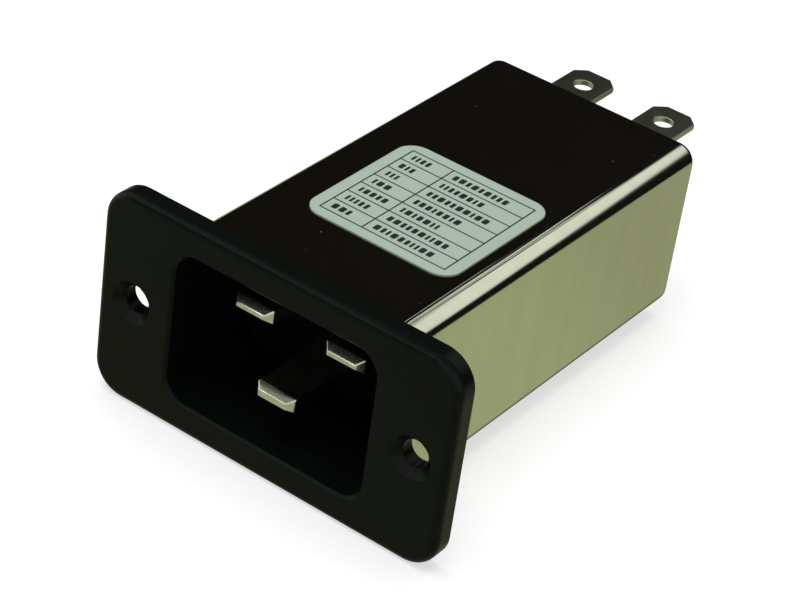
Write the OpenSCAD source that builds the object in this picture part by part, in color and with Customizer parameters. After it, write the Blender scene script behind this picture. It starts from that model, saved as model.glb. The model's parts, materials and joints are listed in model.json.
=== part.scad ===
// Power entry filter: a 16 A appliance inlet in a screw-on flange, with the
// interference filter in a drawn metal can behind it and three push-on tabs.
// X runs along the flange, Y runs from the panel into the equipment, Z is up.
// The origin is midway between the two screw holes, on the face that meets the panel.

/* [Flange] */
// Width of the flange
flange_w = 50; // [47:0.5:60]
// Height of the flange
flange_h = 28; // [27:0.5:36]
// Thickness of the flange in front of the panel
flange_t = 2.8; // [2.2:0.1:4]
// Corner radius of the flange, seen from the front
flange_corner_r = 4.2; // [2:0.1:6]
// Radius that softens the front edge of the flange
flange_edge_r = 1; // [0.4:0.1:1.6]
// Distance between the two screw holes
screw_pitch = 40; // [39.5:0.5:42]
// Clearance hole for an M3 screw
screw_hole_d = 3.5; // [3.1:0.1:4]
// Diameter of the 90 degree countersink at the front face
screw_head_d = 5.6; // [5:0.1:6.4]
// Depth of the groove in the flange's back that the can's rim sits in
rim_seat = 0.5; // [0.3:0.1:1]

/* [Inlet cavity] */
// Width of the cavity that takes the connector
cavity_w = 28.4; // [27.6:0.1:29.6]
// Height of the cavity that takes the connector
cavity_h = 20; // [19.4:0.1:20.8]
// Depth of the cavity from the front face to its floor
cavity_depth = 16; // [14:0.5:20]
// Radius of the cavity's four upright corners
cavity_corner_r = 3; // [1.6:0.1:4]
// Small lead-in round the mouth of the cavity
mouth_bevel = 0.35; // [0.1:0.05:0.6]
// Thickness of the cavity's floor
floor_t = 2.3; // [1.8:0.1:4]
// Side walls of the shroud inside the can
shroud_side_wall = 0.9; // [0.8:0.1:1.6]
// Top wall of the shroud inside the can
shroud_top_wall = 0.65; // [0.6:0.05:1.6]
// Bottom wall of the shroud inside the can
shroud_bottom_wall = 1.45; // [1.2:0.05:2]

/* [Inlet blades] */
// Width of each blade
blade_w = 5.5; // [5:0.1:7]
// Thickness of each blade
blade_t = 2; // [1.6:0.1:2.4]
// Distance between the line and the neutral blade
blade_pitch = 13; // [12:0.1:14]
// Height of the line and neutral blades above the middle of the flange
blade_z = 3.6; // [3:0.1:4.6]
// How far the earth blade lies below the other two
earth_drop = 7.4; // [6.6:0.1:8]
// Depth of the line and neutral tips behind the front face
line_tip_depth = 4.5; // [3.4:0.1:6]
// Depth of the earth tip behind the front face, so that earth mates first
earth_tip_depth = 1.5; // [0.8:0.1:2.4]
// Bevel on the narrow sides of each tip
tip_side_bevel = 1.1; // [0.4:0.1:1.4]
// Bevel on the broad faces of each tip
tip_face_bevel = 0.6; // [0.3:0.05:0.7]
// Length of the bevels along the blade
tip_bevel_len = 1; // [0.5:0.1:1.5]
// Width of the tail behind the cavity's floor
blade_tail_w = 3; // [2:0.1:4]
// Distance from the floor's back to the tail's bend
blade_tail_reach = 1.5; // [1.4:0.1:3]

/* [Can] */
// Sheet thickness of the can
can_wall = 0.5; // [0.4:0.05:0.8]
// Radius of the can's four long edges
can_corner_r = 2.4; // [1.6:0.1:4]
// Radius round the can's closed end
can_edge_r = 1; // [0.9:0.1:1.5]
// Free length left inside the can round the choke
can_spare = 0.8; // [0.4:0.1:20]
// Thickness of the insulating sleeve inside the can
liner_t = 0.25; // [0.15:0.05:0.4]

/* [Load tabs] */
// Width of each push-on tab
tab_w = 6.3; // [4.8:0.1:6.6]
// Thickness of each push-on tab
tab_t = 0.8; // [0.5:0.1:1]
// Distance between the line tab and the neutral tab
tab_pitch = 12.4; // [11.6:0.1:13.4]
// Height of the line and neutral tabs above the middle of the flange
tab_z = 7.1; // [6.4:0.1:7.4]
// How far the earth tab lies below the other two
tab_earth_drop = 9.6; // [8.6:0.1:10.2]
// Length of each tab behind the can
tab_len = 12; // [9:0.5:14]
// Hole in each tab
tab_hole_d = 2.6; // [1.4:0.1:3]
// Distance from the tip of a tab to the middle of its hole
tab_hole_back = 3.9; // [3.2:0.1:5]
// Chamfer on the two corners of each tip
tab_chamfer = 1.4; // [0.6:0.1:2]
// Width of the tail that goes down to the board
tab_tail_w = 2.5; // [1.6:0.1:3.5]
// Width of the foot that is riveted to the can
foot_h = 6.4; // [5.8:0.1:7]
// Diameter of the rivet that joins the earth tab to the can
rivet_d = 2.4; // [2:0.1:3]
// Diameter of the rivet's two heads
rivet_head_d = 4.2; // [3.6:0.1:4.6]
// Height of each rivet head
rivet_head_h = 0.9; // [0.6:0.1:1.1]

/* [Terminal plate] */
// Thickness of the moulded plate inside the can's closed end
plate_t = 2.7; // [2:0.1:4]
// Width of the boss that shows through the can's window
boss_w = 22; // [21:0.5:24]
// Height of the boss that shows through the can's window
boss_h = 4; // [3:0.1:4.8]
// How far the boss stands proud of the can
boss_proud = 0.4; // [0.1:0.1:1]
// Corner radius of the boss
boss_corner_r = 1.2; // [0.6:0.1:1.4]

/* [Circuit board] */
// Thickness of the circuit board
board_t = 1.6; // [1:0.1:2]
// Height of the board above the sleeve
board_standoff = 1.7; // [1.5:0.1:2.4]
// Length of every lead under the board
lead_out = 1.1; // [0.9:0.1:1.3]
// Height of the solder under the board
solder_h = 0.8; // [0.5:0.1:0.9]
// How far the solder spreads round a lead at the board
solder_spread = 0.4; // [0.3:0.05:0.45]
// Depth of the ledges that carry the board's two ends
ledge_len = 1.1; // [0.8:0.1:1.3]

/* [Capacitors and resistor] */
// Width of the capacitor across the line
x_cap_w = 18; // [15:0.5:22]
// Thickness of the capacitor across the line
x_cap_t = 6.5; // [5:0.5:12]
// Height of the capacitor across the line
x_cap_h = 12.5; // [8:0.5:16]
// Lead spacing of the capacitor across the line
x_cap_pitch = 15; // [12.5:0.5:15]
// Width of each capacitor to earth
y_cap_w = 9.6; // [8:0.1:10.4]
// Thickness of each capacitor to earth
y_cap_t = 4; // [3:0.1:7]
// Height of each capacitor to earth
y_cap_h = 8; // [6:0.5:11]
// Lead spacing of each capacitor to earth
y_cap_pitch = 7.5; // [5:0.5:7.5]
// Distance between the middles of the two capacitors to earth
y_cap_apart = 13; // [12:0.5:15]
// Lead diameter of the capacitors
cap_lead_d = 0.8; // [0.5:0.1:0.9]
// Radius on the edges of the capacitor boxes
cap_edge_r = 0.6; // [0.2:0.1:1]
// Body diameter of the bleed resistor
resistor_d = 2.3; // [1.6:0.1:3]
// Body length of the bleed resistor
resistor_len = 6.2; // [5:0.1:8]
// Lead spacing of the bleed resistor
resistor_pitch = 10; // [9:0.5:12]
// Lead diameter of the bleed resistor
resistor_lead_d = 0.6; // [0.4:0.1:0.7]

/* [Choke] */
// Outer diameter of the ring core
core_od = 19; // [17:0.5:21]
// Inner diameter of the ring core
core_id = 10; // [9.6:0.1:11]
// Height of the ring core
core_h = 9; // [6:0.5:11]
// Radius on the core's edges
core_edge_r = 1.5; // [1:0.1:1.8]
// Diameter of the enamelled wire
wire_d = 1.2; // [0.8:0.05:1.3]
// Turns in each winding
turns = 8; // [4:1:8]
// Angle between neighbouring turns
turn_angle = 17.5; // [16.5:0.5:18]
// Height of the core above the board
core_lift = 2.2; // [1.8:0.1:3]
// Thickness of the divider that keeps the windings apart
divider_t = 1.2; // [0.8:0.1:1.3]

/* [Label] */
// Length of the label across the can
label_w = 21; // [16:0.5:24]
// Length of the label along the can
label_len = 21.4; // [16:0.2:30]
// Thickness of the label
label_t = 0.12; // [0.08:0.01:0.2]
// Corner radius of the label
label_corner_r = 2.6; // [1:0.1:4]
// Distance from the panel face to the label's near edge
label_start = 13.4; // [4:0.2:24]
// Shift of the label to the line side
label_shift = 1; // [0:0.1:1.4]

/* [Clearances] */
// Gap all round a piece that is pressed into its seat
seat_gap = 0.05; // [0.02:0.01:0.1]
// Gap between pieces that stand beside each other
part_gap = 0.3; // [0.2:0.05:0.6]
// Gap all round a lead in its hole in the board
hole_gap = 0.1; // [0.05:0.05:0.2]
// Gap between the core's face and the wire wound on it
wire_gap = 0.2; // [0.2:0.05:0.4]

/* [Hidden] */
$fn = 48;
over = 1;                                   // how far a cutter runs past its face
side = 1;                                   // line is on the +X side, neutral on the other

// Shroud and can, worked out from the cavity outwards
front_y = -flange_t;
floor_y = cavity_depth - flange_t;
body_rear_y = floor_y + floor_t;
shroud_w = cavity_w + 2 * shroud_side_wall;
shroud_top = cavity_h / 2 + shroud_top_wall;
shroud_bottom = -cavity_h / 2 - shroud_bottom_wall;
inner_w = shroud_w + 2 * seat_gap;
inner_top = shroud_top + seat_gap;
inner_bottom = shroud_bottom - seat_gap;
inner_r = can_corner_r - can_wall;
can_w = inner_w + 2 * can_wall;
can_top = inner_top + can_wall;
can_bottom = inner_bottom - can_wall;

// Heights inside the can
liner_bottom = inner_bottom + seat_gap + liner_t;
board_bottom = liner_bottom + board_standoff;
board_top = board_bottom + board_t;
lead_end = board_bottom - lead_out;
core_bottom = board_top + core_lift;
core_top = core_bottom + core_h;

// Places along the can, from the cavity's floor to the closed end
tail_y = body_rear_y + blade_tail_reach;
resistor_y = tail_y + blade_t + part_gap + resistor_d / 2;
x_cap_y = resistor_y + resistor_d / 2 + part_gap + x_cap_t / 2;
wrap = wire_d / 2 + wire_gap;               // from the core's face to the wire's middle
horn_t = 0.9;                               // thickness of the cradle's two end horns
choke_r = max(core_od / 2 + part_gap + horn_t, core_od / 2 + wrap + wire_d / 2);
choke_y = x_cap_y + x_cap_t / 2 + can_spare / 2 + choke_r;
y_cap_y = choke_y + choke_r + can_spare / 2 + y_cap_t / 2;
tab_tail_y = y_cap_y + y_cap_t / 2 + part_gap + rivet_head_h;
lug_t = 0.5;                                // sheet thickness of the earth lug
plate_y = tab_tail_y + tab_t + part_gap + lug_t;
inner_end_y = plate_y + plate_t;
can_end_y = inner_end_y + can_wall;
tab_tip_y = can_end_y + tab_len;

// Sizes across the can
liner_w = inner_w - 2 * seat_gap;
board_w = liner_w - 2 * liner_t - 2 * part_gap;
board_y = body_rear_y + seat_gap;
board_end_y = plate_y - seat_gap;
earth_blade_z = blade_z - earth_drop;
earth_tab_z = tab_z - tab_earth_drop;
rivet_z = earth_tab_z - tab_t / 2 - (foot_h - tab_t) / 2;
lead_angle = turns * turn_angle / 2;        // from the choke's X axis to its leads
lead_r = core_od / 2 + wrap;
lug_w = 4;                                  // width of the earth lug
ledge_w = 4;                                // width of each ledge under the board
ledge_h = 1.2;                              // depth of each ledge under the board
peg_d = 1.5;                                // the divider's two pegs in the board
peg_y = 6;                                  // from the choke's middle to each peg

// ---- shapes that repeat -----------------------------------------------------

// Rectangle with round corners, centred on the origin
module round_rect(w, h, r) {
    square([w - 2 * r, h], center = true);
    square([w, h - 2 * r], center = true);
    for (x = [-1, 1], y = [-1, 1])
        translate([x * (w / 2 - r), y * (h / 2 - r)]) circle(r);
}

// Stands a drawing of X and Z up and runs it along Y from y0 to y1
module along_y(y0, y1) {
    translate([0, y1, 0]) rotate([90, 0, 0]) linear_extrude(y1 - y0) children();
}

// Stands a drawing of Y and Z up and runs it across X, centred on x
module across_x(x, w) {
    translate([x - w / 2, 0, 0]) rotate([90, 0, 90]) linear_extrude(w) children();
}

// Profile of a slab's edge: square at the foot, quarter round at the top
module edge_profile(reach, r) {
    square([reach - r, r]);
    intersection() {
        translate([reach - r, 0]) circle(r);
        translate([reach - r, 0]) square(r);
    }
}

// Slab r thick whose upper edge is rounded by r, with corners of radius corner
module soft_slab(w, h, corner, r) {
    dx = w / 2 - corner;
    dy = h / 2 - corner;
    linear_extrude(r) square([2 * dx, 2 * dy], center = true);
    for (s = [0, 1], m = [0, 1]) mirror([s, 0, 0]) mirror([0, m, 0]) {
        translate([dx, dy, 0]) intersection() {
            rotate_extrude() edge_profile(corner, r);
            cube(corner);
        }
    }
    for (s = [0, 1]) {
        mirror([s, 0, 0]) translate([dx, dy, 0]) rotate([90, 0, 0])
            linear_extrude(2 * dy) edge_profile(corner, r);
        mirror([0, s, 0]) translate([-dx, dy, 0]) rotate([90, 0, 90])
            linear_extrude(2 * dx) edge_profile(corner, r);
    }
}

// Bent strip seen from the side: from y0 back to a bend at y1, then down to z1
module bent_strip(y0, y1, z, t, z1) {
    bend = t + part_gap;
    translate([y0, z - t / 2]) square([y1 - y0 - bend, t]);
    translate([y1 - t, z1]) square([t, z + t / 2 - bend - z1]);
    translate([y1 - bend, z + t / 2 - bend]) intersection() {
        difference() {
            circle(bend);
            circle(bend - t);
        }
        square(bend);
    }
}

// ---- inlet -------------------------------------------------------------------

module screw_hole() {
    cone_h = (screw_head_d - screw_hole_d) / 2;
    translate([0, front_y - over, 0]) rotate([-90, 0, 0])
        cylinder(d = screw_hole_d, h = flange_t + 2 * over);
    translate([0, front_y, 0]) rotate([-90, 0, 0])
        cylinder(d1 = screw_head_d, d2 = screw_hole_d, h = cone_h);
    translate([0, front_y - over, 0]) rotate([-90, 0, 0])
        cylinder(d = screw_head_d, h = over);
}

module shroud_outline(gap) {
    translate([0, (shroud_top + shroud_bottom) / 2])
        round_rect(shroud_w + 2 * gap, shroud_top - shroud_bottom + 2 * gap, inner_r - seat_gap + gap);
}

module can_outline(gap) {
    translate([0, (can_top + can_bottom) / 2])
        round_rect(can_w + 2 * gap, can_top - can_bottom + 2 * gap, can_corner_r + gap);
}

// The two ledges under one end of the board, outside its leads
module board_ledges() {
    for (x = [-1, 1])
        translate([x * (board_w / 2 - inner_r - ledge_w / 2), board_bottom - ledge_h / 2])
            square([ledge_w, ledge_h], center = true);
}

module blade_slots() {
    along_y(floor_y - over, body_rear_y + over) {
        for (x = [-1, 1]) translate([x * blade_pitch / 2, blade_z]) blade_section();
        translate([0, earth_blade_z]) blade_section();
    }
}

module blade_section() {
    square([blade_w + 2 * seat_gap, blade_t + 2 * seat_gap], center = true);
}

module inlet_housing() {
    color([0.09, 0.10, 0.09]) difference() {
        union() {
            translate([0, front_y + flange_edge_r, 0]) rotate([90, 0, 0])
                soft_slab(flange_w, flange_h, flange_corner_r, flange_edge_r);
            along_y(front_y + flange_edge_r, -rim_seat)
                round_rect(flange_w, flange_h, flange_corner_r);
            along_y(-rim_seat, 0) difference() {
                round_rect(flange_w, flange_h, flange_corner_r);
                can_outline(seat_gap);
            }
            along_y(-rim_seat, body_rear_y) shroud_outline(0);
            along_y(body_rear_y, body_rear_y + ledge_len) board_ledges();
        }
        along_y(front_y - over, floor_y) round_rect(cavity_w, cavity_h, cavity_corner_r);
        hull() {
            along_y(front_y - mouth_bevel, front_y)
                round_rect(cavity_w + 2 * mouth_bevel, cavity_h + 2 * mouth_bevel,
                           cavity_corner_r + mouth_bevel);
            along_y(front_y, front_y + mouth_bevel)
                round_rect(cavity_w, cavity_h, cavity_corner_r);
        }
        for (x = [-1, 1]) translate([x * screw_pitch / 2, 0, 0]) screw_hole();
        blade_slots();
    }
}

// Plan of a blade: bevelled tip, full width to the floor, then the narrow tail
module blade_plan(tip_y) {
    half = blade_w / 2;
    polygon([[-half + tip_side_bevel, tip_y], [half - tip_side_bevel, tip_y],
             [half, tip_y + tip_bevel_len], [half, body_rear_y],
             [blade_tail_w / 2, body_rear_y], [blade_tail_w / 2, tail_y + blade_t + over],
             [-blade_tail_w / 2, tail_y + blade_t + over], [-blade_tail_w / 2, body_rear_y],
             [-half, body_rear_y], [-half, tip_y + tip_bevel_len]]);
}

// Side of a blade: bevelled tip, straight run, bend and tail down through the board
module blade_side(tip_y, z) {
    half = blade_t / 2;
    full_y = tip_y + tip_bevel_len;
    polygon([[tip_y, z - half + tip_face_bevel], [full_y, z - half],
             [full_y, z + half], [tip_y, z + half - tip_face_bevel]]);
    bent_strip(full_y, tail_y + blade_t, z, blade_t, lead_end);
}

module blade(x, z, tip_y) {
    color([0.78, 0.77, 0.72]) intersection() {
        across_x(x, blade_w) blade_side(tip_y, z);
        translate([x, 0, lead_end]) linear_extrude(z + blade_t - lead_end) blade_plan(tip_y);
    }
}

module line_blade() { blade(side * blade_pitch / 2, blade_z, front_y + line_tip_depth); }
module neutral_blade() { blade(-side * blade_pitch / 2, blade_z, front_y + line_tip_depth); }
module earth_blade() { blade(0, earth_blade_z, front_y + earth_tip_depth); }

// ---- can and what lines it ----------------------------------------------------

module can() {
    color([0.62, 0.64, 0.52]) difference() {
        union() {
            along_y(-rim_seat, can_end_y - can_edge_r) can_outline(0);
            translate([0, can_end_y - can_edge_r, (can_top + can_bottom) / 2]) rotate([-90, 0, 0])
                soft_slab(can_w, can_top - can_bottom, can_corner_r, can_edge_r);
        }
        along_y(-over, inner_end_y) shroud_outline(seat_gap);
        along_y(inner_end_y - over, can_end_y + over) boss_outline(seat_gap);
        translate([0, inner_end_y - over, rivet_z]) rotate([-90, 0, 0])
            cylinder(d = rivet_d + 2 * seat_gap, h = can_wall + 2 * over);
    }
}

module insulating_liner() {
    color([0.86, 0.82, 0.68]) along_y(body_rear_y + seat_gap, plate_y - seat_gap) difference() {
        shroud_outline(0);
        shroud_outline(-liner_t);
    }
}

module rating_label() {
    color([0.68, 0.74, 0.70])
        translate([side * label_shift, label_start + label_len / 2, can_top])
            linear_extrude(label_t) round_rect(label_w, label_len, label_corner_r);
}

// ---- load end -------------------------------------------------------------------

module boss_outline(gap) {
    translate([0, tab_z]) round_rect(boss_w + 2 * gap, boss_h + 2 * gap, boss_corner_r + gap);
}

module terminal_plate() {
    slot_w = tab_w + 2 * seat_gap;
    slot_h = tab_t + 2 * seat_gap;
    color([0.13, 0.14, 0.13]) difference() {
        union() {
            along_y(plate_y, inner_end_y) shroud_outline(-seat_gap);
            along_y(inner_end_y, can_end_y + boss_proud) boss_outline(0);
            along_y(plate_y - ledge_len, plate_y) board_ledges();
        }
        along_y(plate_y - over, can_end_y + boss_proud + over)
            for (x = [-1, 1]) translate([x * tab_pitch / 2, tab_z]) square([slot_w, slot_h], center = true);
        translate([0, plate_y - over, rivet_z]) rotate([-90, 0, 0])
            cylinder(d = rivet_d + 2 * seat_gap, h = plate_t + 2 * over);
    }
}

// Plan of a tab from y0 to its chamfered tip
module tab_plan(y0) {
    half = tab_w / 2;
    difference() {
        polygon([[-half, y0], [half, y0], [half, tab_tip_y - tab_chamfer],
                 [half - tab_chamfer, tab_tip_y], [-half + tab_chamfer, tab_tip_y],
                 [-half, tab_tip_y - tab_chamfer]]);
        translate([0, tab_tip_y - tab_hole_back]) circle(d = tab_hole_d);
    }
}

// Side of a line or neutral tab: tail up from the board, bend, then the straight tab
module load_tab(x) {
    color([0.50, 0.53, 0.46]) intersection() {
        across_x(x, tab_w) translate([tab_tail_y + tab_tip_y, 0]) mirror([1, 0])
            bent_strip(tab_tail_y, tab_tip_y, tab_z, tab_t, lead_end);
        translate([x, 0, lead_end]) linear_extrude(tab_z + tab_t - lead_end) {
            tab_plan(plate_y);
            translate([-tab_tail_w / 2, tab_tail_y]) square([tab_tail_w, plate_y - tab_tail_y]);
        }
    }
}

module load_line_tab() { load_tab(side * tab_pitch / 2); }
module load_neutral_tab() { load_tab(-side * tab_pitch / 2); }

// Earth tab: a foot riveted flat to the can's end and the tab bent out of it
module load_earth_tab() {
    color([0.50, 0.53, 0.46]) difference() {
        intersection() {
            across_x(0, tab_w) translate([can_end_y + tab_tip_y, 0]) mirror([1, 0])
                bent_strip(can_end_y, tab_tip_y, earth_tab_z, tab_t, earth_tab_z + tab_t / 2 - foot_h);
            translate([0, 0, earth_tab_z - foot_h]) linear_extrude(foot_h + tab_t) tab_plan(can_end_y);
        }
        translate([0, can_end_y - over, rivet_z]) rotate([-90, 0, 0])
            cylinder(d = rivet_d + 2 * seat_gap, h = tab_t + 2 * over);
    }
}

// Rivet: shank through lug, plate, can and foot, with a domed head at each end
module earth_rivet() {
    grip = lug_t + plate_t + can_wall + tab_t;
    dome_r = (pow(rivet_head_d / 2, 2) + pow(rivet_head_h, 2)) / (2 * rivet_head_h);
    color([0.72, 0.72, 0.66]) translate([0, plate_y - lug_t, rivet_z]) rotate([-90, 0, 0]) {
        cylinder(d = rivet_d, h = grip);
        for (s = [0, 1]) translate([0, 0, s * grip]) mirror([0, 0, 1 - s]) intersection() {
            cylinder(d = rivet_head_d, h = rivet_head_h);
            translate([0, 0, rivet_head_h - dome_r]) sphere(dome_r);
        }
    }
}

// Lug that carries earth from the board to the rivet
module earth_lug() {
    top = rivet_z + lug_w / 2;
    color([0.72, 0.72, 0.66]) difference() {
        along_y(plate_y - lug_t, plate_y) translate([-lug_w / 2, lead_end]) square([lug_w, top - lead_end]);
        translate([0, plate_y - lug_t - over, rivet_z]) rotate([-90, 0, 0])
            cylinder(d = rivet_d + 2 * seat_gap, h = lug_t + 2 * over);
    }
}

// ---- filter parts ---------------------------------------------------------------

// Places of the round leads in the board: [x, y, diameter]
function round_leads() = [
    for (s = [-1, 1]) [s * x_cap_pitch / 2, x_cap_y, cap_lead_d],
    for (s = [-1, 1]) [s * resistor_pitch / 2, resistor_y, resistor_lead_d],
    for (s = [-1, 1], c = [-1, 1])
        [c * y_cap_apart / 2 + s * y_cap_pitch / 2, y_cap_y, cap_lead_d],
    for (s = [-1, 1], c = [-1, 1])
        [c * lead_r * cos(lead_angle), choke_y + s * lead_r * sin(lead_angle), wire_d]
];

// Places of the flat tails in the board: [x, y of the middle, width, thickness]
function flat_tails() = [
    for (s = [-1, 0, 1]) [s * blade_pitch / 2, tail_y + blade_t / 2, blade_tail_w, blade_t],
    for (s = [-1, 1]) [s * tab_pitch / 2, tab_tail_y + tab_t / 2, tab_tail_w, tab_t]
];

module circuit_board() {
    color([0.16, 0.36, 0.20]) translate([0, 0, board_bottom]) linear_extrude(board_t) difference() {
        translate([-board_w / 2, board_y]) square([board_w, board_end_y - board_y]);
        for (p = round_leads()) translate([p[0], p[1]]) circle(d = p[2] + 2 * hole_gap);
        for (p = flat_tails()) translate([p[0], p[1]])
            square([p[2] + 2 * hole_gap, p[3] + 2 * hole_gap], center = true);
        for (s = [-1, 1]) translate([0, choke_y + s * peg_y]) circle(d = peg_d + 2 * hole_gap);
        translate([-lug_w / 2 - hole_gap, plate_y - lug_t - hole_gap])
            square([lug_w + 2 * hole_gap, lug_t + hole_gap]);
    }
}

// Solder under the board: a cone round each lead or tail, open where the lead passes
module solder_joints() {
    color([0.74, 0.75, 0.76]) translate([0, 0, board_bottom - solder_h]) {
        for (p = round_leads()) translate([p[0], p[1], 0]) difference() {
            solder_cone(p[2] / 2);
            translate([0, 0, -over]) cylinder(d = p[2], h = solder_h + 2 * over);
        }
        for (p = flat_tails()) translate([p[0], p[1], 0]) difference() {
            solder_wedge(p[2], p[3]);
            translate([-p[2] / 2, -p[3] / 2, -over]) cube([p[2], p[3], solder_h + 2 * over]);
        }
    }
}

module solder_cone(r) {
    cylinder(r1 = r + solder_spread / 3, r2 = r + solder_spread, h = solder_h);
}

// Solder round a flat tail: both of its side views widen towards the board
module solder_wedge(w, t) {
    intersection() {
        rotate([90, 0, 0]) linear_extrude(t + 2 * solder_spread, center = true) wedge_face(w);
        rotate([90, 0, 90]) linear_extrude(w + 2 * solder_spread, center = true) wedge_face(t);
    }
}

module wedge_face(w) {
    low = w / 2 + solder_spread / 3;
    high = w / 2 + solder_spread;
    polygon([[-low, 0], [low, 0], [high, solder_h], [-high, solder_h]]);
}

// Boxed film capacitor on two leads, standing on the board
module box_capacitor(w, t, h, pitch) {
    translate([0, 0, board_top]) linear_extrude(h) round_rect(w, t, cap_edge_r);
    for (s = [-1, 1]) translate([s * pitch / 2, 0, lead_end])
        cylinder(d = cap_lead_d, h = board_top - lead_end);
}

module x_capacitor() {
    color([0.80, 0.66, 0.20]) translate([0, x_cap_y, 0])
        box_capacitor(x_cap_w, x_cap_t, x_cap_h, x_cap_pitch);
}

module y_capacitor(x) {
    color([0.20, 0.38, 0.62]) translate([x, y_cap_y, 0])
        box_capacitor(y_cap_w, y_cap_t, y_cap_h, y_cap_pitch);
}

module line_y_capacitor() { y_capacitor(side * y_cap_apart / 2); }
module neutral_y_capacitor() { y_capacitor(-side * y_cap_apart / 2); }

// Axial resistor lying on the board, its two leads bent down through it
module bleed_resistor() {
    cap_len = 1.4;
    waist = resistor_d * 0.86;
    z = board_top + resistor_d / 2;
    color([0.72, 0.60, 0.44]) translate([0, resistor_y, z]) {
        rotate([0, 90, 0]) {
            cylinder(d = waist, h = resistor_len, center = true);
            cylinder(d = resistor_lead_d, h = resistor_pitch, center = true);
            for (s = [-1, 1]) translate([0, 0, s * (resistor_len - cap_len) / 2])
                cylinder(d = resistor_d, h = cap_len, center = true);
        }
        for (s = [-1, 1]) translate([s * resistor_pitch / 2, 0, 0]) {
            sphere(d = resistor_lead_d);
            translate([0, 0, lead_end - z]) cylinder(d = resistor_lead_d, h = z - lead_end);
        }
    }
}

module choke_core() {
    color([0.22, 0.34, 0.26]) translate([0, choke_y, core_bottom]) rotate_extrude($fn = 96)
        translate([(core_od + core_id) / 4, core_h / 2])
            round_rect((core_od - core_id) / 2, core_h, core_edge_r);
}

// Cradle and divider: foot on the board, tongue through the core, a horn at each end
module choke_divider() {
    foot_w = 4;
    foot_t = 1;
    tongue = core_id / 2 - part_gap;
    horn_y = core_od / 2 + part_gap;
    horn_top = core_bottom + core_h / 3;
    color([0.86, 0.86, 0.82]) translate([0, choke_y, 0]) {
        across_x(0, divider_t) {
            translate([-horn_y - horn_t, board_top]) square([2 * (horn_y + horn_t), core_lift]);
            translate([-tongue, board_top]) square([2 * tongue, core_top + part_gap - board_top]);
            for (s = [0, 1]) mirror([s, 0]) translate([horn_y, board_top])
                square([horn_t, horn_top - board_top]);
        }
        translate([-foot_w / 2, -horn_y - horn_t, board_top]) cube([foot_w, 2 * (horn_y + horn_t), foot_t]);
        for (s = [-1, 1]) translate([0, s * peg_y, board_bottom]) cylinder(d = peg_d, h = board_t + foot_t);
    }
}

// ---- windings: one wire swept along a path round the core -------------------------

wire_sides = 8;
turn_steps = 14;
loop_r = (core_od - core_id) / 4 + wrap;    // half width of one turn, wire middle
loop_h = core_h / 2 + wrap;                 // half height of one turn, wire middle
loop_mid = (core_od + core_id) / 4;
lead_bend = 1;                              // radius of the bend into the last lead

// Signed root that squares up an ellipse so that a turn hugs the core's section
function squared(v) = sign(v) * sqrt(abs(v));

// Point of the wire after t turns, as [distance from the axis, height, angle]
function turn_point(t) = [loop_mid + loop_r * squared(cos(360 * t)),
                          core_bottom + core_h / 2 + loop_h * squared(sin(360 * t)),
                          -lead_angle + turn_angle * t];

// The wire ends three quarters into its last turn, below the core, and runs out to its lead
wind_end = turns - 0.25;
wind_n = floor(wind_end * turn_steps);
exit_z = core_bottom - wrap;

function winding_path() = concat(
    [[lead_r, lead_end, -lead_angle], [lead_r, board_top, -lead_angle]],
    [for (i = [0 : wind_n]) turn_point(i * wind_end / wind_n)],
    [for (a = [0 : 30 : 90])
        [lead_r - lead_bend + lead_bend * sin(a), exit_z - lead_bend + lead_bend * cos(a), lead_angle]],
    [[lead_r, board_bottom, lead_angle], [lead_r, lead_end, lead_angle]]
);

// Turns [distance, height, angle] into X, Y and Z
function to_xyz(p) = [p[0] * cos(p[2]), p[0] * sin(p[2]), p[1]];

function unit(v) = v / norm(v);

// Ring of points round path point i, square to the wire's run
function wire_ring(path, i) =
    let (last = len(path) - 1,
         run = unit(to_xyz(path[min(i + 1, last)]) - to_xyz(path[max(i - 1, 0)])),
         around = [-sin(path[i][2]), cos(path[i][2]), 0],
         u = unit(cross(run, around)),
         v = cross(run, u))
    [for (k = [0 : wire_sides - 1])
        to_xyz(path[i]) + wire_d / 2 * (u * cos(360 * k / wire_sides) + v * sin(360 * k / wire_sides))];

module winding() {
    path = winding_path();
    n = len(path);
    points = [for (i = [0 : n - 1]) each wire_ring(path, i)];
    walls = [for (i = [0 : n - 2], k = [0 : wire_sides - 1])
        let (a = i * wire_sides, b = (k + 1) % wire_sides)
        [a + k, a + b, a + wire_sides + b, a + wire_sides + k]];
    first = [for (k = [wire_sides - 1 : -1 : 0]) k];
    final = [for (k = [0 : wire_sides - 1]) (n - 1) * wire_sides + k];
    translate([0, choke_y, 0]) polyhedron(points, concat(walls, [first], [final]), convexity = 10);
}

module line_winding() { color([0.70, 0.36, 0.18]) winding(); }
module neutral_winding() { color([0.70, 0.36, 0.18]) mirror([1, 0, 0]) winding(); }

inlet_housing();
line_blade();
neutral_blade();
earth_blade();
can();
insulating_liner();
circuit_board();
x_capacitor();
bleed_resistor();
choke_core();
choke_divider();
line_winding();
neutral_winding();
line_y_capacitor();
neutral_y_capacitor();
terminal_plate();
load_line_tab();
load_neutral_tab();
load_earth_tab();
earth_rivet();
earth_lug();
solder_joints();
rating_label();
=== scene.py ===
"""Looks of a mains entry filter: a moulded appliance inlet on a plated metal can.

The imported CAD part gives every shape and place. This script dresses its pieces
with procedural finishes, makes the stamped and coined metal strips and the
label's print in finer detail, and sets the part on a pale table.
The frame is the part's own: +X along the flange, +Y from the panel into the
equipment, +Z up to the label side. Fields are in millimetres unless they say
otherwise, and meshes are in metres.
"""

import json
import logging
import math
import random
from dataclasses import dataclass
from enum import Enum

import bmesh
import bpy
from mathutils import Matrix, Vector

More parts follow.
